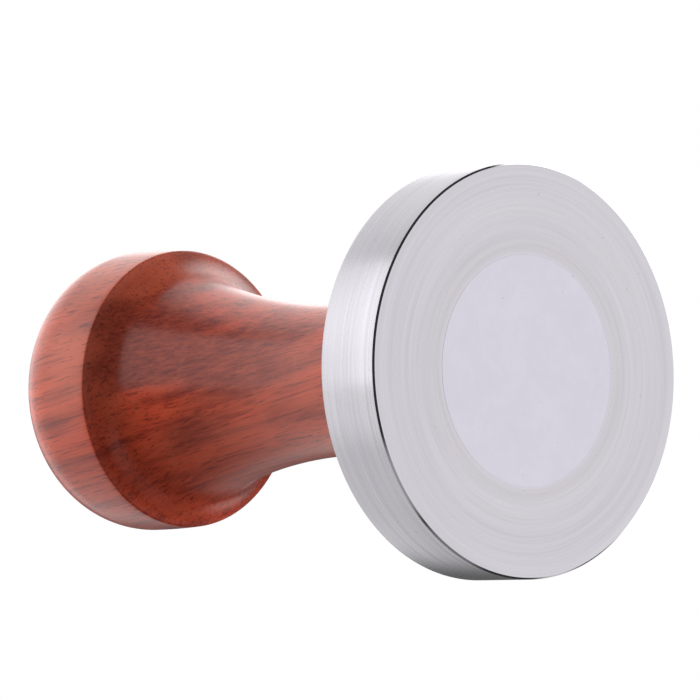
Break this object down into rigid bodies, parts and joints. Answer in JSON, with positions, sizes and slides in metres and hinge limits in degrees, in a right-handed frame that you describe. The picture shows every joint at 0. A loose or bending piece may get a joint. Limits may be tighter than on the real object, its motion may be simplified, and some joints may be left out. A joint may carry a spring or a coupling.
{
  "type": "espresso tamper",
  "caption": "Espresso tamper with a flat round steel base and a turned wooden handle that unscrews from a threaded stud.",
  "frame": {"origin": "middle of the tamping face, at the bottom", "axes": "+Z along the handle's axis, from the tamping face to the crown"},
  "size_m": [0.058, 0.058, 0.0928],
  "materials": {
    "turned_steel": "fine turned",
    "stud_steel": "rolled thread",
    "washer_fibre": "matte",
    "insert_brass": "machined",
    "handle_wood": "satin lacquer"
  },
  "bodies": {
    "base": {"base_disc": "turned_steel", "stud": "stud_steel"},
    "washer": {"washer": "washer_fibre"},
    "handle": {"handle": "handle_wood", "threaded_insert": "insert_brass"}
  },
  "joints": [
    {"name": "handle_lift", "type": "slide", "parent": "base", "child": "washer", "axis": [0, 0, 1], "range_m": [0, 0.00875]},
    {"name": "handle_turn", "type": "hinge", "parent": "washer", "child": "handle", "pos_m": [0, 0, 0.0141], "axis": [0, 0, 1], "range_deg": [0, 2520]}
  ],
  "couplings": [
    {"joint": "handle_lift", "follows": "handle_turn", "m_per_rad": 0.00019894}
  ]
}
